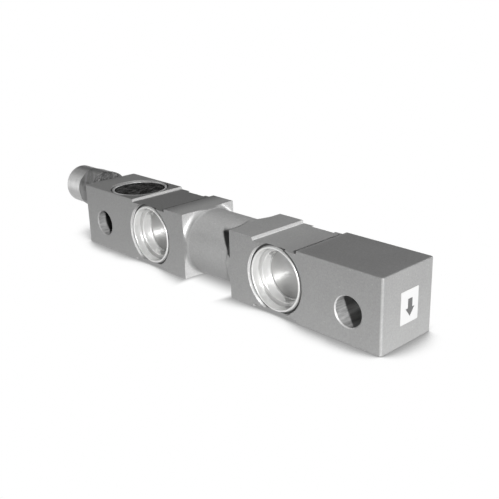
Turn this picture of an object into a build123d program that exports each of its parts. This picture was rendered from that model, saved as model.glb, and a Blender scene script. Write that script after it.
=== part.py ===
"""Double ended beam load cell, in millimetres.

Origin: the middle of the load saddle, on the beam's axis.
+X points to the end with the arrow label, -Y to the front face, +Z up.
"Left" is -X and "right" is +X, as seen from the front.
"""
from build123d import *
import os

# Bar
BAR_LENGTH = 209.0
SECTION = 33.5
END_EDGE_RADIUS = 1.0
END_RIM_BREAK = 0.6
EDGE_BREAK = 0.35

# Waist between the two halves, where the load is hung
NECK_LENGTH = 34.3
NECK_RADIUS = 16.6
NECK_FILLET = 4.0

# Shallow recesses across the top and bottom, over the gauge pockets
RECESS_START = 32.1
RECESS_LENGTH = 27.0
RECESS_DEPTH = 1.5
RECESS_FILLET = 0.7

# Cross holes for the two mounting pins
PIN_END_DISTANCE = 16.95
PIN_DROP = 2.4
PIN_HOLE_RADIUS = 6.75
PIN_CHAMFER = 0.6

# Gauge pockets and the cups that close them
WEB_THICKNESS = 5.0
GAUGE_CHAMBER = 3.65
POCKET_COVER = 0.3
GROOVE_WIDTH = 1.65
GROOVE_DEPTH = 1.5
GROOVE_EDGE = 0.15
CUP_RIM_WIDTH = 0.95
CUP_RIM_SINK = 0.35
CUP_RIM_ROUND = 0.42
CUP_WALL = 0.6
CUP_STEP_DEPTH = 4.8
CUP_BOTTOM_RADIUS = 12.0
CUP_BEND = 0.8
CUP_CLEARANCE = 0.05

# Wiring cavity in the top, with its cap
CAP_SIDE_LAND = 0.75
CAP_RECESS_LAND = 0.3
CAP_GROOVE_WIDTH = 0.9
CAP_SEAT_DEPTH = 1.0
CAP_SEAT_WIDTH = 1.9
CAP_RIM_WIDTH = 1.2
CAP_RIM_SINK = 0.2
CAP_RIM_ROUND = 0.4
CAP_DISC_SINK = 0.9
CAP_THICKNESS = 0.8
CAP_CLEARANCE = 0.05
CAVITY_PIN_COVER = 2.4

# Drilled passages for the gauge leads
PASSAGE_RADIUS = 1.5
PASSAGE_RISE = 1.65
BUNDLE_RADIUS = 1.2
PLUG_LENGTH = 2.0

# Threaded entry for the cable fitting, in the left end
ENTRY_RISE = 9.05
ENTRY_RADIUS = 6.0
ENTRY_DEPTH = 8.0
FEED_RADIUS = 2.2

# Cable fitting
SHANK_LENGTH = 7.5
SHANK_CLEARANCE = 0.05
COLLAR_RADIUS = 11.45
COLLAR_LENGTH = 3.5
COLLAR_GROOVE_WIDTH = 0.6
COLLAR_GROOVE_DEPTH = 0.95
WRENCH_LENGTH = 12.4
WRENCH_FLAT_CUT = 0.45
WRENCH_TURN = 18.0
NOSE_STEP = 0.65
NOSE_LENGTH = 14.5
NOSE_ROUND = 0.9
CONDUIT_RADIUS = 7.6
CONDUIT_DEPTH = 18.8
CONDUIT_CHAMFER = 0.8
HEADER_RADIUS = 5.5
HEADER_DEPTH = 9.5
LEAD_HOLE_RADIUS = 3.2

# Glass sealed header, grommet and washer in the fitting
FIT_CLEARANCE = 0.03
HEADER_SHELL_WALL = 0.9
HEADER_LENGTH = 2.5
HEADER_PIN_RADIUS = 0.45
HEADER_PIN_CIRCLE = 2.3
HEADER_PIN_COUNT = 4
HEADER_PIN_REACH = 2.5
HEADER_LEAD_RADIUS = 0.4
GROMMET_LENGTH = 4.0
GROMMET_BORE = 2.4
WASHER_THICKNESS = 1.2
WASHER_RADIUS = 7.15
WASHER_BORE = 3.4
WASHER_CLEARANCE = 0.05

# Strain gauges, solder tabs and short wires on each side of the webs
FILM_SIDE = 11.0
FILM_THICKNESS = 0.1
FOIL_THICKNESS = 0.06
FOIL_LINE = 0.35
FOIL_PITCH = 0.75
FOIL_LINES = 6
FOIL_REACH = 4.0
FOIL_OFFSET = 2.6
TAB_LENGTH = 6.0
TAB_HEIGHT = 1.6
TAB_THICKNESS = 0.4
TAB_GAP = 0.4
JUMPER_RADIUS = 0.25
JUMPER_PITCH = 1.6
JUMPER_COUNT = 3

# Trim board in the wiring cavity
BOARD_RADIUS = 11.8
BOARD_THICKNESS = 1.2
BOARD_CLEARANCE = 0.3
POST_RADIUS = 1.0
POST_CIRCLE = 9.8
PAD_RADIUS = 0.7
PAD_HEIGHT = 0.15
PAD_PITCH = 2.4
PAD_COUNT = 6
PAD_ROW = 4.2
RESISTOR_LENGTH = 3.4
RESISTOR_WIDTH = 1.7
RESISTOR_HEIGHT = 0.9
RESISTOR_COUNT = 3
RESISTOR_PITCH = 4.4

# Arrow label on the right end
LABEL_WIDTH = 11.6
LABEL_HEIGHT = 14.4
LABEL_THICKNESS = 0.12
LABEL_ROUND = 0.4
LABEL_SIDEWAYS = 1.0
LABEL_RISE = -0.15
ARROW_LENGTH = 7.75
ARROW_WIDTH = 5.85
ARROW_HEAD = 3.7
ARROW_SHAFT = 2.9
ARROW_SIDEWAYS = 0.35
ARROW_RISE = -0.6
ARROW_THICKNESS = 0.05

# Length by which each cutter runs past the face that it cuts
OVERRUN = 1.0

# Worked out from the sizes above
HALF_LENGTH = BAR_LENGTH / 2
HALF_SECTION = SECTION / 2
PIN_X = HALF_LENGTH - PIN_END_DISTANCE
RECESS_END = RECESS_START + RECESS_LENGTH
POCKET_X = RECESS_START + RECESS_LENGTH / 2
POCKET_DEPTH = HALF_SECTION - WEB_THICKNESS / 2
CUP_RIM_RADIUS = HALF_SECTION - RECESS_DEPTH - POCKET_COVER
CUP_MOUTH_RADIUS = CUP_RIM_RADIUS - CUP_RIM_WIDTH
CUP_BODY_RADIUS = CUP_MOUTH_RADIUS + CUP_WALL
CUP_FOOT_RADIUS = CUP_BOTTOM_RADIUS + CUP_WALL
CUP_DEPTH = POCKET_DEPTH - GAUGE_CHAMBER
CHAMBER_MIDDLE = WEB_THICKNESS / 2 + GAUGE_CHAMBER / 2
CAP_SEAT_RADIUS = HALF_SECTION - CAP_SIDE_LAND
CAP_RIM_RADIUS = CAP_SEAT_RADIUS - CAP_GROOVE_WIDTH
CAVITY_RADIUS = CAP_RIM_RADIUS - CAP_SEAT_WIDTH
CAVITY_X = -(RECESS_END + CAP_RECESS_LAND + CAP_SEAT_RADIUS)
CAVITY_FLOOR = PIN_HOLE_RADIUS - PIN_DROP + CAVITY_PIN_COVER
PASSAGE_Z = CAVITY_FLOOR + PASSAGE_RISE + PASSAGE_RADIUS
BOARD_Z = PASSAGE_Z + BUNDLE_RADIUS + BOARD_CLEARANCE
COLLAR_GROOVE_RADIUS = COLLAR_RADIUS - COLLAR_GROOVE_DEPTH
WRENCH_ACROSS_FLATS = 2 * (COLLAR_RADIUS - WRENCH_FLAT_CUT)
NOSE_RADIUS = COLLAR_RADIUS - NOSE_STEP
SIDES = {"left": -1, "right": 1}
FACES = {"front": -1, "rear": 1}


def turned(corners, axis=Axis.Y):
    """Solid turned about an axis, from (radius, place, rounding) corners."""
    points = [(radius, place) for radius, place, rounding in corners]
    roundings = [rounding for radius, place, rounding in corners]
    outline = FilletPolyline(*points, radius=roundings, close=True)
    return revolve(make_face(outline), axis)


def chamfered_hole(radius, length, chamfer):
    """Cutter for a through hole along +Y from y=0, chamfered at both mouths."""
    flare = radius + chamfer + OVERRUN
    return turned([
        (0, -OVERRUN, 0),
        (flare, -OVERRUN, 0),
        (radius, chamfer, 0),
        (radius, length - chamfer, 0),
        (flare, length + OVERRUN, 0),
        (0, length + OVERRUN, 0),
    ])


def rod(start, end, radius):
    """Round bar between two points."""
    start = Vector(*start)
    end = Vector(*end)
    return extrude(Plane(start, z_dir=end - start) * Circle(radius), (end - start).length)


def on_face(face, shape, x=0.0):
    """Set a shape made with its mouth at y=0, facing -Y, on the front or rear face."""
    turn = 0 if FACES[face] < 0 else 180
    return Pos(x, FACES[face] * HALF_SECTION, 0) * Rot(0, 0, turn) * shape


def recess_outline():
    """Side view of the four recesses, as slots centred on the top and bottom faces."""
    slot = RectangleRounded(RECESS_LENGTH, 2 * RECESS_DEPTH, RECESS_FILLET)
    places = [Pos(x * POCKET_X, z * HALF_SECTION) for x in (-1, 1) for z in (-1, 1)]
    return [place * slot for place in places]


def bar_blank():
    """Square bar with its recesses, before the waist and the holes."""
    side_view = Rectangle(BAR_LENGTH, SECTION)
    for slot in recess_outline():
        side_view -= slot
    blank = extrude(Plane.XZ * side_view, SECTION / 2, both=True)
    uprights = blank.edges().filter_by(Axis.Z).filter_by_position(Axis.Z, -1, 1)
    blank = fillet(uprights, END_EDGE_RADIUS)
    end_faces = [blank.faces().sort_by(Axis.X)[index] for index in (0, -1)]
    rims = [edge for face in end_faces for edge in face.edges().filter_by(Axis.Y)]
    blank = fillet(rims, END_RIM_BREAK)
    long_edges = blank.edges().filter_by(Axis.X).filter_by(lambda edge: edge.length > EDGE_BREAK)
    outer = [edge for edge in long_edges if abs(edge.center().Z) > HALF_SECTION - EDGE_BREAK / 2]
    return fillet(outer, EDGE_BREAK)


def neck_cutter():
    """What is cut away around the waist, with a hollow fillet at each shoulder."""
    half = NECK_LENGTH / 2
    rise = NECK_RADIUS + NECK_FILLET
    waist = turned([
        (0, -half, 0),
        (rise, -half, 0),
        (rise, NECK_FILLET - half, 0),
        (NECK_RADIUS, NECK_FILLET - half, 0),
        (NECK_RADIUS, half - NECK_FILLET, 0),
        (rise, half - NECK_FILLET, 0),
        (rise, half, 0),
        (0, half, 0),
    ])
    for end in (-1, 1):
        waist -= Pos(0, end * (half - NECK_FILLET), 0) * Rot(90, 0, 0) * Torus(rise, NECK_FILLET)
    block = Box(2 * SECTION, NECK_LENGTH, 2 * SECTION)
    return Rot(0, 0, 90) * (block - waist)


def pocket_cutter():
    """Gauge pocket: the groove round the rim, the cup's bore and the gauge chamber."""
    groove = CUP_RIM_RADIUS + GROOVE_WIDTH
    mouth = groove + GROOVE_EDGE + OVERRUN
    body = CUP_BODY_RADIUS + CUP_CLEARANCE
    foot = CUP_FOOT_RADIUS + CUP_CLEARANCE
    step = CUP_STEP_DEPTH + CUP_WALL + CUP_CLEARANCE
    return turned([
        (0, -OVERRUN, 0),
        (mouth, -OVERRUN, 0),
        (groove, GROOVE_EDGE, 0),
        (groove, GROOVE_DEPTH, 0),
        (body, GROOVE_DEPTH, 0),
        (body, step, 0),
        (foot, step, 0),
        (foot, POCKET_DEPTH, 0),
        (0, POCKET_DEPTH, 0),
    ])


def cavity_cutter():
    """Wiring cavity, cut from the top face, with the seat for its cap."""
    depth = HALF_SECTION - CAVITY_FLOOR
    seat = Cylinder(CAP_SEAT_RADIUS, CAP_SEAT_DEPTH + OVERRUN, align=(Align.CENTER, Align.CENTER, Align.MIN))
    well = Cylinder(CAVITY_RADIUS, depth + OVERRUN, align=(Align.CENTER, Align.CENTER, Align.MIN))
    seat = Pos(CAVITY_X, 0, HALF_SECTION - CAP_SEAT_DEPTH) * seat
    return seat + Pos(CAVITY_X, 0, CAVITY_FLOOR) * well


def beam_body():
    """The one machined piece that carries the load."""
    beam = bar_blank() - neck_cutter()
    for x in SIDES.values():
        hole = chamfered_hole(PIN_HOLE_RADIUS, SECTION, PIN_CHAMFER)
        beam -= Pos(x * PIN_X, -HALF_SECTION, -PIN_DROP) * hole
        for face in FACES:
            beam -= on_face(face, pocket_cutter(), x * POCKET_X)
    beam -= cavity_cutter()
    beam -= rod((-HALF_LENGTH - OVERRUN, 0, ENTRY_RISE), (ENTRY_DEPTH - HALF_LENGTH, 0, ENTRY_RISE), ENTRY_RADIUS)
    beam -= rod((-HALF_LENGTH, 0, ENTRY_RISE), (CAVITY_X, 0, ENTRY_RISE), FEED_RADIUS)
    for y in FACES.values():
        start = (-HALF_LENGTH, y * CHAMBER_MIDDLE, PASSAGE_Z)
        beam -= rod(start, (POCKET_X, y * CHAMBER_MIDDLE, PASSAGE_Z), PASSAGE_RADIUS)
    return beam


def gauge_cup():
    """Turned cup with a raised, rounded rim that stands in the pocket's groove."""
    step = CUP_STEP_DEPTH
    floor = CUP_DEPTH - CUP_WALL
    return turned([
        (0, floor, 0),
        (CUP_BOTTOM_RADIUS, floor, CUP_BEND),
        (CUP_BOTTOM_RADIUS, step, CUP_BEND / 2),
        (CUP_MOUTH_RADIUS, step, CUP_BEND),
        (CUP_MOUTH_RADIUS, CUP_RIM_SINK, CUP_RIM_ROUND),
        (CUP_RIM_RADIUS, CUP_RIM_SINK, CUP_RIM_ROUND),
        (CUP_RIM_RADIUS, GROOVE_DEPTH, 0),
        (CUP_BODY_RADIUS, GROOVE_DEPTH, 0),
        (CUP_BODY_RADIUS, step + CUP_WALL, 0),
        (CUP_FOOT_RADIUS, step + CUP_WALL, 0),
        (CUP_FOOT_RADIUS, CUP_DEPTH, CUP_BEND / 2),
        (0, CUP_DEPTH, 0),
    ])


def junction_cap():
    """Sunken cap of the wiring cavity, its rim on the seat and its spigot in the well."""
    spigot = CAVITY_RADIUS - CAP_CLEARANCE
    dish = CAP_RIM_RADIUS - CAP_RIM_WIDTH
    cap = turned([
        (0, -CAP_DISC_SINK, 0),
        (dish, -CAP_DISC_SINK, 0),
        (dish, -CAP_RIM_SINK, CAP_RIM_ROUND),
        (CAP_RIM_RADIUS, -CAP_RIM_SINK, CAP_RIM_ROUND),
        (CAP_RIM_RADIUS, -CAP_SEAT_DEPTH, 0),
        (spigot, -CAP_SEAT_DEPTH, 0),
        (spigot, -CAP_DISC_SINK - CAP_THICKNESS, 0),
        (0, -CAP_DISC_SINK - CAP_THICKNESS, 0),
    ])
    return Pos(CAVITY_X, 0, HALF_SECTION) * Rot(90, 0, 0) * cap


def foil_grid(tilt):
    """One winding gauge grid, drawn on the XY plane and turned by tilt degrees."""
    grid = Sketch()
    for index in range(FOIL_LINES):
        x = (index - (FOIL_LINES - 1) / 2) * FOIL_PITCH
        grid += Pos(x, 0) * Rectangle(FOIL_LINE, FOIL_REACH)
        if index < FOIL_LINES - 1:
            end = 1 if index % 2 else -1
            bridge = Rectangle(FOIL_PITCH + FOIL_LINE, FOIL_LINE)
            grid += Pos(x + FOIL_PITCH / 2, end * (FOIL_REACH - FOIL_LINE) / 2) * bridge
    return Rot(0, 0, tilt) * grid


def on_web(face, side, shape, lift=0.0):
    """Lay a shape drawn on the XY plane on the web, in the middle of a pocket."""
    away = FACES[face]
    plane = Plane(
        (SIDES[side] * POCKET_X, away * (WEB_THICKNESS / 2 + lift), 0),
        x_dir=(1, 0, 0),
        z_dir=(0, away, 0),
    )
    return plane * shape


def gauge_film(face, side):
    """Backing film, bonded to the web."""
    return on_web(face, side, extrude(Rectangle(FILM_SIDE, FILM_SIDE), FILM_THICKNESS))


def gauge_foil(face, side):
    """The two foil grids on the film, at 45 degrees to the beam's axis."""
    grids = Pos(-FOIL_OFFSET, 0) * foil_grid(-45) + Pos(FOIL_OFFSET, 0) * foil_grid(45)
    return on_web(face, side, extrude(grids, FOIL_THICKNESS), FILM_THICKNESS)


def tab_height():
    """Height of the solder tab's middle above the pocket's middle."""
    return FILM_SIDE / 2 + TAB_GAP + TAB_HEIGHT / 2


def gauge_terminal(face, side):
    """Solder tab above the film, next to the leads."""
    tab = extrude(Rectangle(TAB_LENGTH, TAB_HEIGHT), TAB_THICKNESS)
    lift = tab_height()
    return Pos(0, 0, lift) * on_web(face, side, tab)


def gauge_jumpers(face, side):
    """Short wires from the solder tab up to the lead bundle."""
    away = FACES[face]
    tab_face = away * (WEB_THICKNESS / 2 + TAB_THICKNESS)
    wires = []
    for index in range(JUMPER_COUNT):
        x = SIDES[side] * POCKET_X + (index - (JUMPER_COUNT - 1) / 2) * JUMPER_PITCH
        bend = (x, away * CHAMBER_MIDDLE, tab_height())
        top = (x, away * CHAMBER_MIDDLE, PASSAGE_Z - BUNDLE_RADIUS)
        wire = rod(bend, top, JUMPER_RADIUS) + rod(bend, (x, tab_face, tab_height()), JUMPER_RADIUS)
        wires.append(wire + Pos(*bend) * Sphere(JUMPER_RADIUS))
    return Compound(children=wires)


def lead_bundle(face):
    """Gauge leads of one side, from the wiring cavity to the far pocket."""
    y = FACES[face] * CHAMBER_MIDDLE
    start = CAVITY_X + CAVITY_RADIUS / 2
    end = POCKET_X + JUMPER_PITCH * JUMPER_COUNT / 2
    return rod((start, y, PASSAGE_Z), (end, y, PASSAGE_Z), BUNDLE_RADIUS)


def passage_plugs():
    """Plugs in the outer ends of the drilled passages, behind the fitting's shank."""
    start = ENTRY_DEPTH - HALF_LENGTH
    plugs = []
    for y in FACES.values():
        middle = y * CHAMBER_MIDDLE
        plugs.append(rod((start, middle, PASSAGE_Z), (start + PLUG_LENGTH, middle, PASSAGE_Z), PASSAGE_RADIUS))
    return Compound(children=plugs)


def board_places(count, pitch, y):
    """Places of one row of small parts on top of the board."""
    top = BOARD_Z + BOARD_THICKNESS
    return [Pos(CAVITY_X + (index - (count - 1) / 2) * pitch, y, top) for index in range(count)]


def terminal_board():
    """Round trim board that carries the resistors."""
    return Pos(CAVITY_X, 0, BOARD_Z) * extrude(Circle(BOARD_RADIUS), BOARD_THICKNESS)


def board_posts():
    """Three posts between the cavity's floor and the board."""
    places = [(0, POST_CIRCLE), (0, -POST_CIRCLE), (POST_CIRCLE, 0)]
    posts = [rod((CAVITY_X + x, y, CAVITY_FLOOR), (CAVITY_X + x, y, BOARD_Z), POST_RADIUS) for x, y in places]
    return Compound(children=posts)


def trim_resistors():
    """Chip resistors in a row along the board's middle."""
    chip = extrude(Rectangle(RESISTOR_LENGTH, RESISTOR_WIDTH), RESISTOR_HEIGHT)
    return Compound(children=[place * chip for place in board_places(RESISTOR_COUNT, RESISTOR_PITCH, 0)])


def board_pads():
    """Two rows of solder pads on the board."""
    pad = extrude(Circle(PAD_RADIUS), PAD_HEIGHT)
    rows = [place for y in (-PAD_ROW, PAD_ROW) for place in board_places(PAD_COUNT, PAD_PITCH, y)]
    return Compound(children=[place * pad for place in rows])


def fitting_place():
    """Where the fitting meets the end face: its own +Y points out along -X."""
    return Pos(-HALF_LENGTH, 0, ENTRY_RISE) * Rot(0, 0, 90)


def header_seat():
    """Distance from the end face out to the step that the header sits on."""
    wrench_end = COLLAR_LENGTH + COLLAR_GROOVE_WIDTH + WRENCH_LENGTH
    return wrench_end + NOSE_LENGTH - CONDUIT_DEPTH - WASHER_THICKNESS - HEADER_DEPTH


def conduit_adapter():
    """Turned fitting: shank, collar, wrench flats and round nose, hollow for the cable."""
    wrench_start = COLLAR_LENGTH + COLLAR_GROOVE_WIDTH
    wrench_end = wrench_start + WRENCH_LENGTH
    nose_end = wrench_end + NOSE_LENGTH
    conduit_floor = nose_end - CONDUIT_DEPTH
    mouth = CONDUIT_RADIUS + CONDUIT_CHAMFER
    washer_seat = WASHER_RADIUS + WASHER_CLEARANCE
    washer_floor = conduit_floor - WASHER_THICKNESS
    shank = ENTRY_RADIUS - SHANK_CLEARANCE
    body = turned([
        (LEAD_HOLE_RADIUS, -SHANK_LENGTH, 0),
        (shank, -SHANK_LENGTH, 0),
        (shank, 0, 0),
        (COLLAR_RADIUS, 0, EDGE_BREAK),
        (COLLAR_RADIUS, COLLAR_LENGTH, EDGE_BREAK),
        (COLLAR_GROOVE_RADIUS, COLLAR_LENGTH, 0),
        (COLLAR_GROOVE_RADIUS, wrench_start, 0),
        (COLLAR_RADIUS, wrench_start, EDGE_BREAK),
        (COLLAR_RADIUS, wrench_end, EDGE_BREAK),
        (NOSE_RADIUS, wrench_end, 0),
        (NOSE_RADIUS, nose_end, NOSE_ROUND),
        (mouth, nose_end, 0),
        (CONDUIT_RADIUS, nose_end - CONDUIT_CHAMFER, 0),
        (CONDUIT_RADIUS, conduit_floor, 0),
        (washer_seat, conduit_floor, 0),
        (washer_seat, washer_floor, 0),
        (HEADER_RADIUS, washer_floor, 0),
        (HEADER_RADIUS, header_seat(), 0),
        (LEAD_HOLE_RADIUS, header_seat(), 0),
    ])
    flats = RegularPolygon(WRENCH_ACROSS_FLATS / 2, 6, major_radius=False)
    ring = Circle(2 * COLLAR_RADIUS) - Rot(0, 0, WRENCH_TURN) * flats
    plane = Plane((0, wrench_start, 0), x_dir=(1, 0, 0), z_dir=(0, 1, 0))
    body -= extrude(plane * ring, WRENCH_LENGTH)
    return fitting_place() * body


def header_pin_places():
    """Places of the header's pins round its middle."""
    return PolarLocations(HEADER_PIN_CIRCLE, HEADER_PIN_COUNT)


def header_disc(shape, start, length):
    """Extrude a cross section of the header along the fitting, from a distance out."""
    plane = Plane((0, start, 0), x_dir=(1, 0, 0), z_dir=(0, 1, 0))
    return fitting_place() * extrude(plane * shape, length)


def header_shell():
    """Steel ring of the glass sealed header."""
    outer = HEADER_RADIUS - FIT_CLEARANCE
    ring = Circle(outer) - Circle(HEADER_RADIUS - HEADER_SHELL_WALL)
    return header_disc(ring, header_seat(), HEADER_LENGTH)


def header_glass():
    """Glass seal between the header's ring and its pins."""
    seal = Circle(HEADER_RADIUS - HEADER_SHELL_WALL - FIT_CLEARANCE)
    for place in header_pin_places():
        seal -= place * Circle(HEADER_PIN_RADIUS + FIT_CLEARANCE)
    return header_disc(seal, header_seat(), HEADER_LENGTH)


def header_pins():
    """Pins that carry the signal through the glass."""
    pin = Circle(HEADER_PIN_RADIUS)
    length = HEADER_LENGTH + 2 * HEADER_PIN_REACH
    pins = [header_disc(place * pin, header_seat() - HEADER_PIN_REACH, length) for place in header_pin_places()]
    return Compound(children=pins)


def header_leads():
    """Leads from the pins, through the shank and the feed hole, into the cavity."""
    start = header_seat() - HEADER_PIN_REACH
    reach = HALF_LENGTH + start + CAVITY_X + CAVITY_RADIUS / 2
    circle = FEED_RADIUS - HEADER_LEAD_RADIUS - BOARD_CLEARANCE
    leads = []
    for place in PolarLocations(circle, HEADER_PIN_COUNT):
        leads.append(header_disc(place * Circle(HEADER_LEAD_RADIUS), start, -reach))
    return Compound(children=leads)


def sealing_grommet():
    """Rubber grommet that a cable would pass through, outside the header."""
    start = header_seat() + HEADER_DEPTH - GROMMET_LENGTH
    ring = Circle(HEADER_RADIUS - FIT_CLEARANCE) - Circle(GROMMET_BORE)
    return header_disc(ring, start, GROMMET_LENGTH)


def gland_washer():
    """Washer in its seat at the conduit bore's floor, over the grommet."""
    ring = Circle(WASHER_RADIUS) - Circle(WASHER_BORE)
    return header_disc(ring, header_seat() + HEADER_DEPTH, WASHER_THICKNESS)


def label_plane(sideways, rise, lift):
    """Plane on the right end face, seen from outside, lifted off the face."""
    return Plane((HALF_LENGTH + lift, sideways, rise), x_dir=(0, 1, 0), z_dir=(1, 0, 0))


def load_arrow_label():
    """Small rectangular label on the right end."""
    film = RectangleRounded(LABEL_WIDTH, LABEL_HEIGHT, LABEL_ROUND)
    return extrude(label_plane(LABEL_SIDEWAYS, LABEL_RISE, 0) * film, LABEL_THICKNESS)


def load_arrow_print():
    """Printed arrow that shows the direction of the load."""
    tip = -ARROW_LENGTH / 2
    neck = tip + ARROW_HEAD
    half_head = ARROW_WIDTH / 2
    half_shaft = ARROW_SHAFT / 2
    outline = Polyline(
        (0, tip),
        (half_head, neck),
        (half_shaft, neck),
        (half_shaft, -tip),
        (-half_shaft, -tip),
        (-half_shaft, neck),
        (-half_head, neck),
        close=True,
    )
    plane = label_plane(LABEL_SIDEWAYS + ARROW_SIDEWAYS, LABEL_RISE + ARROW_RISE, LABEL_THICKNESS)
    return extrude(plane * make_face(outline), ARROW_THICKNESS)


def all_nodes():
    """Every separate piece, by the name of its node."""
    nodes = {
        "beam_body": beam_body(),
        "junction_cap": junction_cap(),
        "terminal_board": terminal_board(),
        "board_posts": board_posts(),
        "trim_resistors": trim_resistors(),
        "board_pads": board_pads(),
        "passage_plugs": passage_plugs(),
        "conduit_adapter": conduit_adapter(),
        "header_shell": header_shell(),
        "header_glass": header_glass(),
        "header_pins": header_pins(),
        "header_leads": header_leads(),
        "sealing_grommet": sealing_grommet(),
        "gland_washer": gland_washer(),
        "load_arrow_label": load_arrow_label(),
        "load_arrow_print": load_arrow_print(),
    }
    for face in FACES:
        nodes[f"lead_bundle_{face}"] = lead_bundle(face)
        for side, x in SIDES.items():
            nodes[f"gauge_cup_{face}_{side}"] = on_face(face, gauge_cup(), x * POCKET_X)
            nodes[f"gauge_film_{face}_{side}"] = gauge_film(face, side)
            nodes[f"gauge_foil_{face}_{side}"] = gauge_foil(face, side)
            nodes[f"gauge_terminal_{face}_{side}"] = gauge_terminal(face, side)
            nodes[f"gauge_jumpers_{face}_{side}"] = gauge_jumpers(face, side)
    return nodes


os.makedirs("parts", exist_ok=True)
for name, shape in all_nodes().items():
    export_step(shape, f"parts/{name}.step")
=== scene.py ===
"""Looks of a double ended beam load cell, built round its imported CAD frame."""
import logging
import math
from dataclasses import dataclass
from enum import Enum
from typing import NamedTuple

import bpy
from mathutils import Matrix, Vector


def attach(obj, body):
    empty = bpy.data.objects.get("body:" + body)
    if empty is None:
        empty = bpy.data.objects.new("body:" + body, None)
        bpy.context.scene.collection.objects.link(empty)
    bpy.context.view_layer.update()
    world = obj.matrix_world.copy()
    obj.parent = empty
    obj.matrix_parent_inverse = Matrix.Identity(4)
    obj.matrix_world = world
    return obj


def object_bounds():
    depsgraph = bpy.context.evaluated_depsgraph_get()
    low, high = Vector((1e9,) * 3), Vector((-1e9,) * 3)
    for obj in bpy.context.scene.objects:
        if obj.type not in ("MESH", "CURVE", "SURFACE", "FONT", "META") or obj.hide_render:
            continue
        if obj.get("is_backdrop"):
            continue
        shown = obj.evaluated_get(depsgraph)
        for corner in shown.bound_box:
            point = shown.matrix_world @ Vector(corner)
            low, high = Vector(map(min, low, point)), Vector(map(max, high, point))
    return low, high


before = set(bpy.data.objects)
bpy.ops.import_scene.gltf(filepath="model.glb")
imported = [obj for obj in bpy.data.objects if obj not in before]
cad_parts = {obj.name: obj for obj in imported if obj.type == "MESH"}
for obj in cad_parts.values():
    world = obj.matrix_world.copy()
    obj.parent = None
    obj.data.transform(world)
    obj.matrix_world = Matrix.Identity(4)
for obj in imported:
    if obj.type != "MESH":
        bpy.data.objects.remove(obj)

logging.basicConfig(level=logging.INFO, format="%(message)s")
log = logging.getLogger("load_cell")

MM = 0.001
NOISE_MIDDLE = 0.5
TRIANGLE_SIDE = math.sqrt(3.0)
TRIANGLE_HEIGHT = 1.5
Triple = tuple[float, float, float]


class Side(Enum):
    """Which half of the beam a piece belongs to, as its node's name says it."""

    LEFT = "left"
    RIGHT = "right"


class Face(Enum):
    """Which long face of the beam a piece belongs to, as its node's name says it."""

    FRONT = "front"
    REAR = "rear"


class Edge(NamedTuple):
    """A smooth step, from 0 at its foot to 1 at its top. The foot may lie above the top."""

    foot: float
    top: float


class Band(NamedTuple):
    """A range that counts in full, and how wide its soft ends are."""

    low: float
    high: float
    soft: float


class Noise(NamedTuple):
    """Soft noise: features for each unit, how many finer layers, and how strong they are."""

    scale: float = 1.0
    detail: float = 3.0
    roughness: float = 0.6


class Line(NamedTuple):
    """A level that rises evenly: what it is at 0, and what 1 adds."""

    base: float
    gain: float

    def at(self, value: "Wire") -> "Wire":
        """The level at a value."""
        return self.base + self.gain * value


class Wire:
    """One output of a shader node, which Python expressions turn into Math nodes."""

    def __init__(self, graph: "Graph", socket: bpy.types.NodeSocket) -> None:
        """Keep the graph that holds the node, and the output itself."""
        self.graph = graph
        self.socket = socket

    def _math(self, operation: str, *terms: "Wire | float") -> "Wire":
        """Add one Math node on the terms."""
        return self.graph.node("ShaderNodeMath", {"operation": operation}, dict(enumerate(terms)))

    def __add__(self, other: "Wire | float") -> "Wire":
        """Sum."""
        return self._math("ADD", self, other)

    def __radd__(self, other: float) -> "Wire":
        """Sum with a number in front."""
        return self._math("ADD", other, self)

    def __sub__(self, other: "Wire | float") -> "Wire":
        """Difference."""
        return self._math("SUBTRACT", self, other)

    def __rsub__(self, other: float) -> "Wire":
        """Difference from a number in front."""
        return self._math("SUBTRACT", other, self)

    def __mul__(self, other: "Wire | float") -> "Wire":
        """Product."""
        return self._math("MULTIPLY", self, other)

    def __rmul__(self, other: float) -> "Wire":
        """Product with a number in front."""
        return self._math("MULTIPLY", other, self)

    def __truediv__(self, other: "Wire | float") -> "Wire":
        """Quotient."""
        return self._math("DIVIDE", self, other)

    def __pow__(self, other: "Wire | float") -> "Wire":
        """Power."""
        return self._math("POWER", self, other)

    def __abs__(self) -> "Wire":
        """Size without its sign."""
        return self._math("ABSOLUTE", self)

    def most(self, other: "Wire | float") -> "Wire":
        """The larger of two values."""
        return self._math("MAXIMUM", self, other)

    def turn_from(self, other: "Wire") -> "Wire":
        """Angle, in radians, of the point whose other coordinate is given."""
        return self._math("ARCTAN2", self, other)


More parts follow.
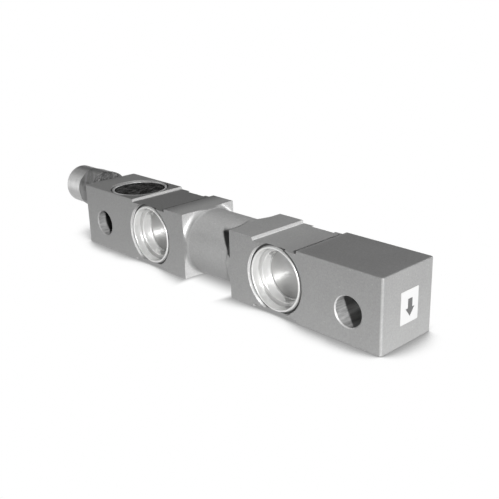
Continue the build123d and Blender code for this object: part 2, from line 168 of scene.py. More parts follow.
class Graph:
    """The node tree of one material or of the world, built node by node."""

    def __init__(self, owner: bpy.types.ID) -> None:
        """Start with an empty tree.

        Args:
            owner: The material or world that the tree belongs to.
        """
        self.owner = owner
        owner.use_nodes = True
        self.tree = owner.node_tree
        self.tree.nodes.clear()

    def node(self, kind: str, settings: dict, values: dict, output: int | str = 0) -> Wire:
        """Add one node.

        Args:
            kind: Blender's name for the node's type.
            settings: Its properties, which are set first.
            values: What goes into its inputs, by number or name.
            output: The output that the caller wants.

        Returns:
            That output.
        """
        made = self.tree.nodes.new(kind)
        for name, value in settings.items():
            setattr(made, name, value)
        for key, value in values.items():
            self._feed(made.inputs[key], value)
        return Wire(self, made.outputs[output])

    def _feed(self, socket: bpy.types.NodeSocket, value: object) -> None:
        """Link an output to an input, or set the input's own value."""
        if isinstance(value, Wire):
            self.tree.links.new(value.socket, socket)
        elif isinstance(value, tuple) and socket.type == "RGBA":
            socket.default_value = (*value, 1.0)
        else:
            socket.default_value = value

    def place(self) -> Wire:
        """Object coordinates, in millimetres."""
        metres = self.node("ShaderNodeTexCoord", {}, {}, "Object")
        return self.node("ShaderNodeVectorMath", {"operation": "SCALE"},
                         {0: metres, "Scale": 1 / MM})

    def stretched(self, place: Wire, scale: Triple) -> Wire:
        """A place with each of its coordinates multiplied."""
        return self.node("ShaderNodeVectorMath", {"operation": "MULTIPLY"}, {0: place, 1: scale})

    def parts(self, vector: Wire) -> tuple[Wire, Wire, Wire]:
        """The three coordinates of a vector."""
        outputs = self.node("ShaderNodeSeparateXYZ", {}, {0: vector}).socket.node.outputs
        return tuple(Wire(self, outputs[index]) for index in range(3))

    def rays(self) -> tuple[Wire, Wire]:
        """Whether a ray comes from the camera, and whether off a mirror or through glass."""
        outputs = self.node("ShaderNodeLightPath", {}, {}).socket.node.outputs
        mirrored = Wire(self, outputs["Is Glossy Ray"])
        return (Wire(self, outputs["Is Camera Ray"]),
                mirrored.most(Wire(self, outputs["Is Transmission Ray"])))

    def joined(self, x: Wire | float, y: Wire | float, z: Wire | float) -> Wire:
        """A vector made from three values."""
        return self.node("ShaderNodeCombineXYZ", {}, {0: x, 1: y, 2: z})

    def noise(self, place: Wire, kind: Noise) -> Wire:
        """Soft noise round its middle, read at a place."""
        return self.node("ShaderNodeTexNoise", {}, {
            "Vector": place,
            "Scale": kind.scale,
            "Detail": kind.detail,
            "Roughness": kind.roughness,
        })

    def swing(self, noise: Wire, share: float) -> Wire:
        """Noise moved to lie round 0, and then multiplied."""
        return share * (noise - NOISE_MIDDLE)

    def step(self, value: Wire, edge: Edge) -> Wire:
        """0 before an edge's foot and 1 past its top, with a smooth step between."""
        return self.node("ShaderNodeMapRange", {"interpolation_type": "SMOOTHSTEP"},
                         {"Value": value, "From Min": edge.foot, "From Max": edge.top})

    def band(self, value: Wire, band: Band) -> Wire:
        """1 inside a band and 0 outside, with its soft ends."""
        rise = self.step(value, Edge(band.low - band.soft, band.low))
        return rise * self.step(value, Edge(band.high + band.soft, band.high))

    def distance(self, across: Wire, along: Wire) -> Wire:
        """Distance from a point, from its two coordinates."""
        return (across * across + along * along) ** 0.5

    def blend(self, share: Wire, first: Wire | float, second: Wire | float) -> Wire:
        """A number between two, by share."""
        return self.node("ShaderNodeMix", {"data_type": "FLOAT"}, {0: share, 2: first, 3: second})

    def tint(self, level: Wire, colour: Triple) -> Wire:
        """A colour made lighter or darker by a level."""
        return self.stretched(self.joined(level, level, level), colour)

    def bump(self, height: Wire, depth: float, under: Wire | None = None) -> Wire:
        """Small relief.

        Args:
            height: The relief's height, round 0 to 1.
            depth: What a height of 1 is, in millimetres.
            under: Another relief that this one lies on.

        Returns:
            The normal.
        """
        values = {"Height": height, "Distance": depth * MM, "Strength": 1.0}
        if under is not None:
            values["Normal"] = under
        return self.node("ShaderNodeBump", {}, values)

    def finish(self, values: dict) -> bpy.types.Material:
        """End a material with the shader that its values go into.

        Args:
            values: What goes into the shader's sockets, by name.

        Returns:
            The material.
        """
        shader = self.node("ShaderNodeBsdfPrincipled", {}, values)
        self.node_output("ShaderNodeOutputMaterial", shader)
        return self.owner

    def node_output(self, kind: str, shader: Wire) -> None:
        """Link a shader to the tree's output."""
        end = self.tree.nodes.new(kind)
        self.tree.links.new(shader.socket, end.inputs["Surface"])


def material_graph(name: str) -> Graph:
    """An empty graph for a new material."""
    return Graph(bpy.data.materials.new(name))


@dataclass(frozen=True)
class CutSteelAndHighlight:
    """Where the bar shows brighter cut steel with painted highlight on it, with a share for each
    kind of mark.

    Places are in millimetres. Along is the distance from the bar's middle, across the distance
    from its upright middle plane, and up is the height.
    """

    face_across: Edge = Edge(16.73, 16.67)
    groove_ring: Band = Band(16.25, 16.9, 0.05)
    groove_across: Edge = Edge(15.15, 15.2)
    groove_top: Edge = Edge(15.1, 9.5)
    groove_foot: Edge = Edge(-15.1, -13.0)
    groove_share: float = 0.95
    chamfer_ring: Band = Band(6.83, 7.45, 0.04)
    chamfer_half: Edge = Edge(-1.0, 1.0)
    chamfer_share: Line = Line(0.1, 0.4)
    wall_up: Edge = Edge(15.15, 15.3)
    near_wall: Band = Band(32.06, 32.8, 0.03)
    far_wall: Band = Band(58.4, 59.14, 0.03)
    wall_share: float = 0.55
    shoulder_round: Edge = Edge(16.8, 18.0)
    shoulder_start: Edge = Edge(14.0, 14.6)
    shoulder_along: Edge = Edge(17.17, 17.15)
    shoulder_highlight_share: float = 0.38
    corner_along: Edge = Edge(103.5, 103.7)
    corner_across: Edge = Edge(15.75, 15.95)
    corner_share: float = 0.1

    def mask(self, g: Graph, place: Wire, from_bore: Wire, from_pocket: Wire) -> Wire:
        """Find the brighter cut steel and its painted highlights.

        Args:
            g: The material's graph.
            place: The place on the bar.
            from_bore: The distance from the nearer pin bore's axis.
            from_pocket: The distance from the nearer pocket's axis.

        Returns:
            How much of the brighter steel and painted highlight shows, from 0 to 1.
        """
        x, y, z = g.parts(place)
        along, across = abs(x), abs(y)
        under_face = g.step(across, self.face_across)
        # Groove walls, chamfers, recess walls and end edges are brighter cut steel, with painted
        # highlight where the key light falls on them.
        faded = g.step(z, self.groove_top) * g.step(z, self.groove_foot)
        groove = g.band(from_pocket, self.groove_ring) * under_face
        groove = groove * g.step(across, self.groove_across) * faded
        chamfer = g.band(from_bore, self.chamfer_ring) * under_face
        chamfer = self.chamfer_share.at(g.step(x, self.chamfer_half)) * chamfer
        walls = g.band(along, self.near_wall) + g.band(along, self.far_wall)
        walls = walls * g.step(z, self.wall_up) * under_face
        # The left block's shoulder, which faces the key light, gets painted highlight only.
        shoulder_highlight = g.step(-1.0 * x, self.shoulder_start) * g.step(along, self.shoulder_along)
        shoulder_highlight = shoulder_highlight * g.step(g.distance(y, z), self.shoulder_round)
        corner = g.step(along, self.corner_along) * g.step(across, self.corner_across)
        found = (self.groove_share * groove).most(chamfer).most(self.shoulder_highlight_share * shoulder_highlight)
        return found.most(self.wall_share * walls).most(self.corner_share * corner)


@dataclass(frozen=True)
class PaintedGrooveShade:
    """Where shade is painted on the bar, in millimetres.

    It lies on the floors of the grooves round the cap and the cups, and as a painted shadow line
    along the ragged inner edge of the left recess.
    """

    cap_middle: float = -75.4
    cap_ring: Band = Band(14.8, 15.96, 0.03)
    cap_up: Band = Band(15.5, 16.0, 0.1)
    cup_ring: Band = Band(15.3, 16.25, 0.05)
    cup_across: Band = Band(15.1, 15.5, 0.1)
    rags: Noise = Noise(0.5, detail=2.0)
    edge_place: Band = Band(-32.4, -31.75, 0.15)
    edge_up: Edge = Edge(15.0, 15.3)

    def mask(self, g: Graph, place: Wire, from_pocket: Wire) -> Wire:
        """Find the painted shade.

        Args:
            g: The material's graph.
            place: The place on the bar.
            from_pocket: The distance from the nearer pocket's axis.

        Returns:
            1 on the painted shade and 0 elsewhere.
        """
        x, y, z = g.parts(place)
        round_cap = g.band(g.distance(x - self.cap_middle, y), self.cap_ring)
        round_cap = round_cap * g.band(z, self.cap_up)
        round_cup = g.band(from_pocket, self.cup_ring) * g.band(abs(y), self.cup_across)
        ragged = g.noise(place, self.rags) - NOISE_MIDDLE
        edge = g.band(x + ragged, self.edge_place) * g.step(z, self.edge_up)
        return round_cap.most(round_cup).most(edge)


@dataclass(frozen=True)
class BarSteel:
    """Blasted stainless steel of the bar, brighter where a cutter left its walls and fillets, with
    painted highlight on them. The bores are swirled and the left one has a painted shadow deep
    inside, the waist is painted lighter with a painted shadow in the corner beside it, the blocks
    are painted lighter towards the bottom, and the top faces are painted lighter in the middle and
    darker towards the ends as shade. Places are in millimetres.
    """

    colour: Triple = (1.0, 1.0, 0.995)
    tone: float = 0.338
    metallic: float = 0.35
    roughness: float = 0.48
    specular: float = 0.2
    cut_and_highlight_tone: float = 0.75
    cut_metallic: float = 0.35
    cut_roughness: float = 0.40
    cuts_and_highlights: CutSteelAndHighlight = CutSteelAndHighlight()
    groove_shade: PaintedGrooveShade = PaintedGrooveShade()
    groove_shade_share: float = 0.15
    grain: Noise = Noise(1.3)
    grain_level: Line = Line(0.71, 0.44)
    grain_roughness: float = 0.10
    grain_depth: float = 0.02
    cloud: Noise = Noise(0.06, roughness=0.5)
    cloud_share: float = 0.14
    cloud_roughness: float = 0.08
    speck: Noise = Noise(0.9, 1.0, 0.5)
    speck_edge: Edge = Edge(0.70, 0.76)
    speck_share: float = 0.07
    pocket_place: float = 45.6
    bore_place: float = 87.55
    bore_drop: float = 2.4
    bore_round: Edge = Edge(6.85, 6.79)
    bore_tone: float = 0.31
    swirl: Noise = Noise()
    swirl_length: float = 0.12
    swirl_turns: float = 7.0
    swirl_level: Line = Line(0.2, 1.6)
    turning: Noise = Noise()
    turning_scale: Triple = (5.0, 0.25, 0.25)
    tool_depth: float = 0.01
    stain_and_shade_share: float = 0.95
    bore_shadow_depth: Edge = Edge(12.4, 11.2)
    bore_shadow_side: Edge = Edge(1.0, -1.0)
    waist_round: Edge = Edge(16.9, 16.7)
    waist_along: Edge = Edge(17.15, 14.6)
    waist_painted_light: Line = Line(1.17, 0.009)
    painted_floor_light: float = 0.005
    wedge_shadow_lean: float = 1.1
    wedge_shadow_rise: Edge = Edge(19.9, 21.2)
    wedge_shadow_along: Edge = Edge(17.17, 17.10)
    wedge_shadow_front: Edge = Edge(-8.5, -11.5)
    wedge_shadow_share: float = 0.9
    top_facing: Edge = Edge(0.6, 0.9)
    top_painted_light: float = 0.2
    top_roughness: float = 0.34
    top_metallic: float = 0.85
    left_start: Edge = Edge(-20.0, -34.0)
    left_end: Edge = Edge(-92.0, -64.0)
    left_level: Line = Line(0.5, 0.5)
    left_top_shade: float = 0.60
    floor_start: Edge = Edge(42.0, 58.0)
    recess_top_shade: float = 0.144
    right_start: Edge = Edge(56.0, 62.0)
    right_top_shade: float = 0.336

    def _bore(self, g: Graph, x: Wire, y: Wire, swirl: Wire) -> Wire:
        """Tone of the pin bores' walls.

        Args:
            g: The material's graph.
            x: The place along the bar.
            y: The place across it.
            swirl: The cutter's marks.

        Returns:
            The tone, with a painted shadow deep in the left bore.
        """
        # The deep part of the left bore is darkened as a painted shadow of the key light.
        stain_and_shade = g.step(abs(y), self.bore_shadow_depth) * g.step(x, self.bore_shadow_side)
        return self.bore_tone * self.swirl_level.at(swirl) * (1.0 - self.stain_and_shade_share * stain_and_shade)

    def _painted_wedge_shadow(self, g: Graph, x: Wire, y: Wire, z: Wire) -> Wire:
        """Where the right block's corner casts a painted shadow on the waist, from 0 to 1."""
        wedge_shadow = g.step(x + self.wedge_shadow_lean * z, self.wedge_shadow_rise) * g.step(x, self.wedge_shadow_along)
        return wedge_shadow * g.step(y, self.wedge_shadow_front)

    def _top_shade(self, g: Graph, x: Wire) -> Wire:
        """How much tone the top faces lose along the bar, as painted shade."""
        left = g.step(x, self.left_start) * self.left_level.at(g.step(x, self.left_end))
        floor = self.recess_top_shade * g.step(x, self.floor_start)
        return self.left_top_shade * left + floor + self.right_top_shade * g.step(x, self.right_start)

    def material(self) -> bpy.types.Material:
        """Make the material."""
        g = material_graph("bar_steel")
        place = g.place()
        x, y, z = g.parts(place)
        grain = g.noise(place, self.grain)
        cloud = g.noise(place, self.cloud)
        speck = g.step(g.noise(place, self.speck), self.speck_edge)
        from_pocket = g.distance(abs(x) - self.pocket_place, z)
        past_bore = abs(x) - self.bore_place
        from_bore = g.distance(past_bore, z + self.bore_drop)
        in_bore = g.step(from_bore, self.bore_round)
        turn = z.turn_from(past_bore)
        swirl = g.joined(y * self.swirl_length, from_bore, turn * self.swirl_turns)
        swirl = g.noise(swirl, self.swirl)
        turning = g.noise(g.stretched(place, self.turning_scale), self.turning)
        cut_and_highlight = self.cuts_and_highlights.mask(g, place, from_bore, from_pocket)
        tone = self.grain_level.at(grain) + self.cloud_share * cloud
        # Cut steel is painted brighter, partly as painted highlight.
        tone = g.blend(cut_and_highlight, self.tone, self.cut_and_highlight_tone) * tone + self.speck_share * speck
        tone = g.blend(in_bore, tone, self._bore(g, x, y, swirl))
        waist = g.step(g.distance(y, z), self.waist_round) * g.step(abs(x), self.waist_along)
        # The waist is painted lighter, more so towards its top, and the blocks are painted lighter
        # towards the bottom, as light.
        tone = tone * g.blend(waist, 1.0 - self.painted_floor_light * z, self.waist_painted_light.at(z))
        # A painted shadow of the right block's corner darkens the waist beside it.
        tone = tone * (1.0 - self.wedge_shadow_share * self._painted_wedge_shadow(g, x, y, z))
        facing = g.parts(g.node("ShaderNodeNewGeometry", {}, {}, "Normal"))[2]
        on_top = g.step(facing, self.top_facing)
        # Top faces get their own rougher, less metallic finish, and their colour is painted
        # lighter in the middle and darker towards the ends as shade.
        gain = self.top_painted_light * (1.0 - waist) - self._top_shade(g, x)
        tone = tone * (1.0 + on_top * gain)
        # Painted shade darkens the groove floors round the cap and the cups, and a painted shadow
        # line runs along the left recess's inner edge.
        tone = tone * g.blend(self.groove_shade.mask(g, place, from_pocket), 1.0, self.groove_shade_share)
        rough = g.blend(cut_and_highlight, self.roughness, self.cut_roughness) + self.top_roughness * on_top
        rough = rough + g.swing(grain, self.grain_roughness) + g.swing(cloud, self.cloud_roughness)
        metallic = g.blend(cut_and_highlight, self.metallic, self.cut_metallic)
        relief = g.bump(grain, self.grain_depth)
        return g.finish({
            "Base Color": g.tint(tone, self.colour),
            "Metallic": metallic * (1.0 - self.top_metallic * on_top),
            "Roughness": rough,
            "Specular IOR Level": self.specular,
            "Normal": g.bump(turning * cut_and_highlight + swirl * in_bore, self.tool_depth, relief),
        })


@dataclass(frozen=True)
class CupSteel:
    """Bright turned stainless steel of a gauge cup, with rings round its axis, a greyer bottom and
    painted shade in its inner corners.

    Places are in millimetres: a ring is a range of distances from the cup's axis, and across is
    the distance from the bar's upright middle plane.
    """

    colour: Triple = (1.0, 1.0, 0.99)
    pocket_place: float = 45.6
    wall_tone: float = 0.77
    wall_metallic: float = 0.55
    wall_roughness: float = 0.38
    disc_tone: float = 0.38
    disc_metallic: float = 0.82
    disc_roughness: float = 0.33
    disc_round: Edge = Edge(11.6, 11.3)
    disc_across: Edge = Edge(7.3, 6.9)
    corner_ring: Band = Band(13.45, 14.1, 0.1)
    corner_across: Band = Band(11.85, 12.55, 0.1)
    foot_ring: Band = Band(11.3, 12.1, 0.1)
    foot_across: Band = Band(6.65, 7.25, 0.1)
    crease_shade_share: float = 0.45
    tread_ring: Band = Band(12.2, 13.5, 0.2)
    tread_across: Band = Band(11.85, 12.15, 0.1)
    tread_share: float = 0.25
    rings: Noise = Noise(1.0, 2.0, 0.5)
    rings_level: Line = Line(0.86, 0.18)
    rings_roughness: float = 0.06
    ring_pitch: float = 0.45
    ring_turns: float = 0.1
    ring_depth: float = 0.002
    smear: Noise = Noise(1.0, 1.0, 0.5)
    smear_share: float = 0.10
    smear_roughness: float = 0.08
    smear_length: float = 0.3
    smear_turns: float = 1.2

    def material(self) -> bpy.types.Material:
        """Make the material."""
        g = material_graph("cup_steel")
        x, y, z = g.parts(g.place())
        aside, across = abs(x) - self.pocket_place, abs(y)
        radius = g.distance(aside, z)
        turn = z.turn_from(aside)
        rings = g.joined(radius / self.ring_pitch, across / self.ring_pitch,
                         turn * self.ring_turns)
        rings = g.noise(rings, self.rings)
        smear = g.joined(radius * self.smear_length, across * self.smear_length,
                         turn * self.smear_turns)
        smear = g.noise(smear, self.smear)
        disc = g.step(radius, self.disc_round) * g.step(across, self.disc_across)
        corner = g.band(radius, self.corner_ring) * g.band(across, self.corner_across)
        foot = g.band(radius, self.foot_ring) * g.band(across, self.foot_across)
        tread = g.band(radius, self.tread_ring) * g.band(across, self.tread_across)
        tone = self.rings_level.at(rings) + self.smear_share * smear
        tone = g.blend(disc, self.wall_tone, self.disc_tone) * tone
        # Painted shade darkens the inner corners at the step and the foot; the tread is darker
        # too.
        dark = (self.crease_shade_share * corner.most(foot)).most(self.tread_share * tread)
        rough = g.blend(disc, self.wall_roughness, self.disc_roughness)
        rough = rough + g.swing(rings, self.rings_roughness) + g.swing(smear, self.smear_roughness)
        return g.finish({
            "Base Color": g.tint(tone * (1.0 - dark), self.colour),
            "Metallic": g.blend(disc.most(tread), self.wall_metallic, self.disc_metallic),
            "Roughness": rough,
            "Normal": g.bump(rings, self.ring_depth),
        })


@dataclass(frozen=True)
class CapSteel:
    """Cap of the wiring cavity: a bright rim round a dark, coarse blasted disc.

    Edges are distances from the cap's middle, in millimetres.
    """

    colour: Triple = (1.0, 1.0, 1.0)
    middle: float = -75.4
    specular: float = 0.10
    rim_edge: Edge = Edge(13.7, 14.0)
    rim_tone: float = 0.60
    rim_level: Line = Line(0.8, 0.4)
    rim_roughness: Line = Line(0.22, 0.16)
    rim_metallic: float = 0.6
    disc_edge: Edge = Edge(13.5, 12.3)
    disc_tone: float = 0.045
    disc_floor: float = 0.04
    disc_roughness: Line = Line(0.62, 0.3)
    disc_depth: float = 0.5
    grain: Noise = Noise(0.9, 4.0, 0.7)
    grain_level: Line = Line(0.2, 1.6)
    stain_and_shade: Noise = Noise(0.22, detail=4.0)
    stain_and_shade_share: float = 0.15
    mottle: Noise = Noise(roughness=0.7)
    mottle_scale: Triple = (0.8, 0.22, 0.8)
    mottle_edge: Edge = Edge(0.44, 0.62)
    mottle_share: float = 2.2

    def material(self) -> bpy.types.Material:
        """Make the material."""
        g = material_graph("cap_steel")
        place = g.place()
        x, y, _ = g.parts(place)
        radius = g.distance(x - self.middle, y)
        on_rim = g.step(radius, self.rim_edge)
        grain = g.noise(place, self.grain)
        stain_and_shade = g.noise(place, self.stain_and_shade)
        mottle = g.noise(g.stretched(place, self.mottle_scale), self.mottle)
        mottle = g.step(mottle, self.mottle_edge)
        disc = self.disc_floor + self.mottle_share * mottle * self.grain_level.at(grain)
        disc = self.disc_tone * (disc + self.stain_and_shade_share * stain_and_shade) * g.step(radius, self.disc_edge)
        rim = self.rim_tone * self.rim_level.at(grain)
        rough = g.blend(on_rim, self.disc_roughness.at(grain), self.rim_roughness.at(grain))
        return g.finish({
            "Base Color": g.tint(g.blend(on_rim, disc, rim), self.colour),
            "Metallic": self.rim_metallic * on_rim,
            "Roughness": rough,
            "Specular IOR Level": self.specular,
            "Normal": g.bump(grain * (1.0 - on_rim), self.disc_depth),
        })


@dataclass(frozen=True)
class FittingSteel:
    """Turned stainless steel of the cable fitting: a bright nose with a painted highlight band and
    a painted darker top, and streaked, milled flats with painted shade where they meet the bar.

    Places are in millimetres.
    """

    colour: Triple = (1.0, 1.0, 0.995)
    nose_edge: Edge = Edge(-120.85, -121.15)
    nose_tone: float = 0.70
    nose_level: Line = Line(0.50, 1.0)
    nose_metallic: float = 0.38
    nose_roughness: Line = Line(0.30, 0.12)
    painted_sheen: Band = Band(11.0, 14.5, 4.0)
    painted_sheen_level: Line = Line(0.74, 0.38)
    shaded_top: Edge = Edge(14.5, 18.5)
    shaded_top_share: float = 0.34
    axis_height: float = 9.05
    bore_edge: Edge = Edge(7.9, 7.7)
    bore_share: float = 0.65
    flat_tone: float = 0.165
    flat_floor: float = 0.70
    flat_metallic: float = 0.40
    flat_roughness: Line = Line(0.30, 0.20)
    lathe: Noise = Noise(roughness=0.65)
    lathe_scale: Triple = (3.2, 0.12, 0.12)
    lathe_depth: float = 0.012
    grain: Noise = Noise(1.2)
    grain_share: float = 0.4
    streak: Noise = Noise()
    streak_along: float = 0.32
    streak_across: float = 0.30
    streak_up: float = 0.12
    streak_drift: float = 0.05
    streak_edge: Edge = Edge(0.44, 0.54)
    streak_share: float = 0.45
    shade_by_bar_along: Edge = Edge(-109.0, -105.5)
    shade_by_bar_grain: Edge = Edge(0.60, 0.45)
    stain_and_shade_share: float = 0.5

    def _nose(self, g: Graph, y: Wire, z: Wire, lathe: Wire) -> Wire:
        """Tone of the round nose and its bore, with a painted highlight band and a painted darker
        top.

        Args:
            g: The material's graph.
            y: The place across the bar.
            z: The height.
            lathe: The lathe's marks.

        Returns:
            The tone.
        """
        # A painted highlight band runs round the nose, and its top is painted darker as a
        # reflection of the dark ceiling.
        painted_sheen = self.painted_sheen_level.at(g.band(z, self.painted_sheen))
        painted_sheen = painted_sheen - self.shaded_top_share * g.step(z, self.shaded_top)
        in_bore = g.step(g.distance(y, z - self.axis_height), self.bore_edge)
        tone = self.nose_tone * self.nose_level.at(lathe) * painted_sheen
        return tone * g.blend(in_bore, 1.0, self.bore_share)

    def material(self) -> bpy.types.Material:
        """Make the material."""
        g = material_graph("fitting_steel")
        place = g.place()
        x, y, z = g.parts(place)
        lathe = g.noise(g.stretched(place, self.lathe_scale), self.lathe)
        grain = g.noise(place, self.grain)
        streak = g.joined(x * self.streak_along + y * self.streak_across,
                          z * self.streak_up, y * self.streak_drift)
        streak = g.noise(streak, self.streak)
        on_nose = g.step(x, self.nose_edge)
        # By the bar the flats are darkened in blotches as painted shade.
        stain_and_shade = g.step(x, self.shade_by_bar_along) * g.step(grain, self.shade_by_bar_grain)
        flat = self.flat_floor + self.streak_share * g.step(streak, self.streak_edge)
        flat = self.flat_tone * (flat + self.grain_share * grain)
        flat = flat * (1.0 - self.stain_and_shade_share * stain_and_shade)
        rough = g.blend(on_nose, self.flat_roughness.at(streak), self.nose_roughness.at(lathe))
        return g.finish({
            "Base Color": g.tint(g.blend(on_nose, flat, self._nose(g, y, z, lathe)), self.colour),
            "Metallic": g.blend(on_nose, self.flat_metallic, self.nose_metallic),
            "Roughness": rough,
            "Normal": g.bump(lathe, self.lathe_depth),
        })


@dataclass(frozen=True)
class Speckled:
    """A plain stuff with its own speckle, clouding and fine relief.

    The sizes of speckle and cloud are features for each millimetre.
    """

    name: str
    colour: Triple
    roughness: float
    metallic: float = 0.0
    speckle: float = 2.0
    speckle_share: float = 0.08
    speckle_roughness: float = 0.15
    cloud: Noise = Noise(0.2, 2.0, 0.5)
    cloud_share: float = 0.06
    depth: float = 0.01
    transmission: float = 0.0
    coat: float = 0.0

    def material(self) -> bpy.types.Material:
        """Make the material."""
        g = material_graph(self.name)
        place = g.place()
        speckle = g.noise(place, Noise(self.speckle))
        level = 1.0 + g.swing(speckle, 2 * self.speckle_share)
        level = level + g.swing(g.noise(place, self.cloud), 2 * self.cloud_share)
        return g.finish({
            "Base Color": g.tint(level, self.colour),
            "Metallic": self.metallic,
            "Roughness": self.roughness + g.swing(speckle, self.speckle_roughness),
            "Transmission Weight": self.transmission,
            "Coat Weight": self.coat,
            "Normal": g.bump(speckle, self.depth),
        })


def dress(node: str, material: bpy.types.Material) -> None:
    """Give a CAD node its material.

    Args:
        node: The node's name.
        material: What it is made of.
    """
    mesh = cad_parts[node].data
    mesh.materials.clear()
    mesh.materials.append(material)
    log.info("dressed %s with %s", node, material.name)


@dataclass
class Beam:
    """The machined bar."""

    steel: BarSteel = BarSteel()

    def build(self) -> None:
        """Dress the bar."""
        dress("beam_body", self.steel.material())


@dataclass
class GaugeStations:
    """The four gauge pockets: their cups, the gauges behind them, and the leads."""

    cup: CupSteel = CupSteel()
    film: Speckled = Speckled("gauge_film", (0.62, 0.36, 0.10), 0.32, cloud_share=0.12, coat=0.4)
    foil: Speckled = Speckled("gauge_foil", (0.72, 0.56, 0.42), 0.30, metallic=1.0)
    tab: Speckled = Speckled("tab_laminate", (0.16, 0.34, 0.18), 0.40, coat=0.3)
    lead: Speckled = Speckled("lead_insulation", (0.78, 0.78, 0.76), 0.45)

    def build(self) -> None:
        """Dress every cup, film, foil, tab and wire."""
        finishes = {
            "gauge_cup": self.cup.material(),
            "gauge_film": self.film.material(),
            "gauge_foil": self.foil.material(),
            "gauge_terminal": self.tab.material(),
            "gauge_jumpers": self.lead.material(),
        }
        for face in Face:
            for side in Side:
                for kind, material in finishes.items():
                    dress(f"{kind}_{face.value}_{side.value}", material)
            dress(f"lead_bundle_{face.value}", finishes["gauge_jumpers"])


@dataclass
class WiringCavity:
    """The wiring cavity: its cap, trim board and small parts, and the plugs of the passages."""

    cap: CapSteel = CapSteel()
    board: Speckled = Speckled("board_laminate", (0.05, 0.20, 0.09), 0.35,
                               cloud_share=0.10, coat=0.5)
    solder: Speckled = Speckled("solder", (0.70, 0.70, 0.70), 0.26, metallic=1.0)
    chip: Speckled = Speckled("chip_body", (0.05, 0.05, 0.055), 0.50)
    post: Speckled = Speckled("post_steel", (0.60, 0.60, 0.59), 0.34, metallic=1.0)

    def build(self) -> None:
        """Dress the cap, what is under it, and the plugs."""
        dress("junction_cap", self.cap.material())
        dress("terminal_board", self.board.material())
        dress("board_pads", self.solder.material())
        dress("trim_resistors", self.chip.material())
        steel = self.post.material()
        dress("board_posts", steel)
        dress("passage_plugs", steel)


@dataclass(frozen=True)
class ConduitThread:
    """Internal thread of the cable fitting: a helical ridge that stands in its bore.

    Lengths are in millimetres. The tip is how far the ridge reaches in from the bore, and the
    root how far into its wall.
    """

    bore_radius: float = 7.6
    axis_height: float = 9.05
    start: float = -134.0
    pitch: float = 1.411
    turns: int = 9
    steps: int = 48
    tip: float = 0.55
    root: float = 0.20
    width: float = 1.20
    smooth_degrees: float = 30.0

    def build(self, steel: bpy.types.Material) -> None:
        """Model the ridge.

        Args:
            steel: The fitting's own material.
        """
        piece = self._profile()
        screw = piece.modifiers.new("helix", "SCREW")
        screw.axis = "X"
        screw.screw_offset = self.pitch * MM
        screw.iterations = self.turns
        screw.steps = self.steps
        screw.render_steps = self.steps
        bpy.ops.object.modifier_apply(modifier=screw.name)
        bpy.ops.object.mode_set(mode="EDIT")
        bpy.ops.mesh.select_all(action="SELECT")
        bpy.ops.mesh.fill_holes(sides=3)
        bpy.ops.mesh.select_all(action="SELECT")
        bpy.ops.mesh.normals_make_consistent(inside=False)
        bpy.ops.transform.translate(value=(self.start * MM, 0.0, self.axis_height * MM))
        bpy.ops.object.mode_set(mode="OBJECT")
        bpy.ops.object.shade_smooth_by_angle(angle=math.radians(self.smooth_degrees))
        piece.data.materials.append(steel)
        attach(piece, "root")
        log.info("modelled %s, %d turns", piece.name, self.turns)

    def _profile(self) -> bpy.types.Object:
        """Model the ridge's triangle under the bore's axis, with its base in the wall."""
        reach = self.tip + self.root
        sizes = (self.width / TRIANGLE_SIDE, reach / TRIANGLE_HEIGHT, 1.0)
        drop = self.bore_radius + self.root - reach / 3.0
        bpy.ops.object.select_all(action="DESELECT")
        bpy.ops.mesh.primitive_circle_add(vertices=3, radius=MM, fill_type="NOTHING",
                                          location=(0.0, 0.0, 0.0))
        piece = bpy.context.object
        piece.name = "conduit_thread"
        bpy.ops.object.mode_set(mode="EDIT")
        bpy.ops.mesh.select_all(action="SELECT")
        bpy.ops.transform.resize(value=sizes, center_override=(0.0, 0.0, 0.0))
        bpy.ops.transform.translate(value=(0.0, -drop * MM, 0.0))
        bpy.ops.object.mode_set(mode="OBJECT")
        return piece


@dataclass
class CableFitting:
    """The cable fitting on the left end, with its thread, header, grommet and washer."""

    steel: FittingSteel = FittingSteel()
    thread: ConduitThread = ConduitThread()
    glass: Speckled = Speckled("header_glass", (0.20, 0.32, 0.38), 0.12, transmission=0.6)
    gold: Speckled = Speckled("gold_pin", (0.83, 0.60, 0.22), 0.25, metallic=1.0)
    lead: Speckled = Speckled("header_lead", (0.76, 0.76, 0.74), 0.45)
    rubber: Speckled = Speckled("seal_rubber", (0.035, 0.035, 0.036), 0.62,
                                speckle_share=0.2, depth=0.02)
    washer: Speckled = Speckled("washer_steel", (0.58, 0.58, 0.57), 0.32, metallic=1.0)

    def build(self) -> None:
        """Dress the fitting and the pieces inside it, and model its thread."""
        steel = self.steel.material()
        dress("conduit_adapter", steel)
        self.thread.build(steel)
        dress("header_glass", self.glass.material())
        dress("header_pins", self.gold.material())
        dress("header_leads", self.lead.material())
        dress("sealing_grommet", self.rubber.material())
        washer = self.washer.material()
        dress("gland_washer", washer)
        dress("header_shell", washer)


@dataclass
class ArrowLabel:
    """The white label with its load arrow on the right end."""

    film: Speckled = Speckled("white_film", (0.60, 0.60, 0.60), 0.42, speckle=3.0,
                              speckle_share=0.02, cloud_share=0.02, depth=0.004)
    ink: Speckled = Speckled("grey_print", (0.10, 0.10, 0.10), 0.50, speckle=2.5,
                             speckle_share=0.12, depth=0.004)

    def build(self) -> None:
        """Dress the label and its print."""
        dress("load_arrow_label", self.film.material())
        dress("load_arrow_print", self.ink.material())


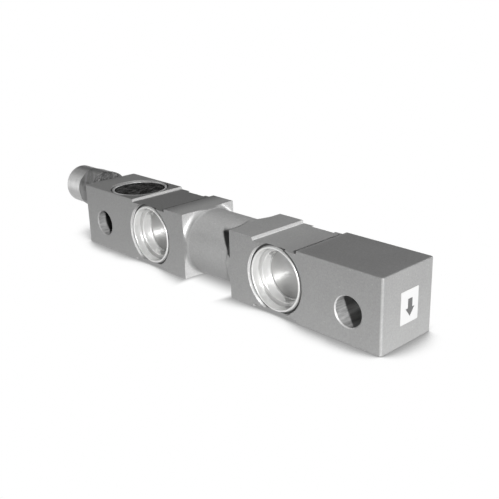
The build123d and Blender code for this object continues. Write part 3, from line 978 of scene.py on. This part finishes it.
@dataclass(frozen=True)
class SoftBox:
    """A flat lamp that points at the middle of the object.

    Power is in watts, and the distance, width and height are in metres.
    """

    name: str
    toward: Triple
    distance: float
    width: float
    height: float
    power: float

    def build(self) -> None:
        """Set up the lamp."""
        lamp = bpy.data.lights.new(self.name, "AREA")
        lamp.shape = "RECTANGLE"
        lamp.size = self.width
        lamp.size_y = self.height
        lamp.energy = self.power
        holder = bpy.data.objects.new(self.name, lamp)
        direction = Vector(self.toward).normalized()
        holder.location = direction * self.distance
        holder.rotation_mode = "QUATERNION"
        holder.rotation_quaternion = (-direction).to_track_quat("-Z", "Y")
        holder.visible_camera = False
        bpy.context.scene.collection.objects.link(holder)


@dataclass
class Studio:
    """White floor with a soft contact shadow, the lamps and the surroundings.

    The floor's side and the shadow's reach are in metres, and places on the floor in millimetres.
    """

    floor_side: float = 24.0
    floor_grey: Triple = (0.50, 0.50, 0.50)
    shadow_reach: float = 0.024
    shadow_samples: int = 24
    shadow_level: float = 0.30
    shadow_edge: Edge = Edge(0.47, 0.78)
    neck_along: Edge = Edge(19.0, 13.0)
    neck_front: Edge = Edge(-3.0, -18.0)
    world_white: Triple = (1.0, 1.0, 1.0)
    horizon: float = 0.40
    ceiling: float = 0.048
    backdrop: Edge = Edge(0.24, 0.08)
    lamps: tuple[SoftBox, ...] = (
        SoftBox("key_lamp", (0.838, -0.43, 0.345), 1.1, width=0.06, height=0.06, power=16.2),
        SoftBox("back_lamp", (-0.64, 0.62, 0.45), 1.2, width=0.14, height=0.14, power=0.30),
        SoftBox("rear_lamp", (0.16, 0.98, 0.10), 1.2, width=0.40, height=0.20, power=4.3),
        SoftBox("left_lamp", (-0.72, -0.28, 0.60), 1.0, width=1.10, height=0.35, power=1.4),
    )

    def build(self) -> None:
        """Set up the floor, the world and the lamps."""
        bpy.context.scene.view_settings.view_transform = "Standard"
        self._floor()
        self._world()
        for lamp in self.lamps:
            lamp.build()

    def _floor(self) -> None:
        """Lay the floor, white with a contact shadow where seen and grey in the light it gives."""
        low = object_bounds()[0]
        bpy.ops.object.select_all(action="DESELECT")
        bpy.ops.mesh.primitive_plane_add(size=self.floor_side, location=(0.0, 0.0, low.z))
        floor = bpy.context.object
        floor.name = "studio_floor"
        g = material_graph("floor_white")
        by_camera, mirrored = g.rays()
        x, y, _ = g.parts(g.place())
        open_sky = g.node("ShaderNodeAmbientOcclusion", {"samples": self.shadow_samples},
                          {"Distance": self.shadow_reach}, "AO")
        # In front of the neck the contact shadow is painted away.
        painted_clear_at_neck = g.step(abs(x), self.neck_along) * g.step(y, self.neck_front)
        clear = g.step(open_sky, self.shadow_edge).most(painted_clear_at_neck)
        shade = 1.0 - (1.0 - self.shadow_level) * (1.0 - clear) * by_camera
        grey = g.node("ShaderNodeBsdfDiffuse", {}, {"Color": self.floor_grey})
        white = g.node("ShaderNodeEmission", {}, {"Strength": shade})
        seen = by_camera.most(mirrored)
        mixed = g.node("ShaderNodeMixShader", {}, {0: seen, 1: grey, 2: white})
        g.node_output("ShaderNodeOutputMaterial", mixed)
        floor.data.materials.append(g.owner)
        floor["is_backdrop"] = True

    def _world(self) -> None:
        """Light the object with a pale horizon under a dark ceiling, and show the camera white."""
        world = bpy.data.worlds.new("studio")
        bpy.context.scene.world = world
        g = Graph(world)
        up = g.parts(g.node("ShaderNodeTexCoord", {}, {}, "Generated"))[2]
        by_camera, mirrored = g.rays()
        backdrop = g.step(up, self.backdrop)
        light = g.blend(backdrop, self.ceiling, self.horizon)
        level = g.blend(by_camera.most(mirrored * backdrop), light, 1.0)
        shine = g.node("ShaderNodeBackground", {}, {"Color": self.world_white, "Strength": level})
        g.node_output("ShaderNodeOutputWorld", shine)


@dataclass(frozen=True)
class PhotoCamera:
    """The camera at the photograph's place, for a square frame.

    The place and the clipping distances are in metres, and the lens and sensor in millimetres.
    """

    place: Triple = (0.269031, -0.237063, 0.127581)
    right: Triple = (0.685846, 0.727197, -0.028282)
    down: Triple = (0.228595, -0.252166, -0.940296)
    forward: Triple = (-0.690912, 0.638433, -0.339181)
    lens: float = 55.752
    sensor: float = 36.0
    clip_start: float = 0.01
    clip_end: float = 60.0

    def build(self) -> None:
        """Set up the camera."""
        data = bpy.data.cameras.new("photo_camera")
        data.lens = self.lens
        data.sensor_width = self.sensor
        data.clip_start = self.clip_start
        data.clip_end = self.clip_end
        holder = bpy.data.objects.new("photo_camera", data)
        columns = (Vector(self.right), -Vector(self.down), -Vector(self.forward))
        turn = Matrix(columns).transposed().to_4x4()
        holder.matrix_world = Matrix.Translation(self.place) @ turn
        bpy.context.scene.collection.objects.link(holder)
        bpy.context.scene.camera = holder


def main() -> None:
    """Build every sub-assembly in order."""
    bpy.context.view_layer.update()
    PhotoCamera().build()
    for assembly in (Beam(), GaugeStations(), WiringCavity(), CableFitting(), ArrowLabel()):
        log.info("building %s", type(assembly).__name__)
        assembly.build()
    Studio().build()


if __name__ == "__main__":
    main()
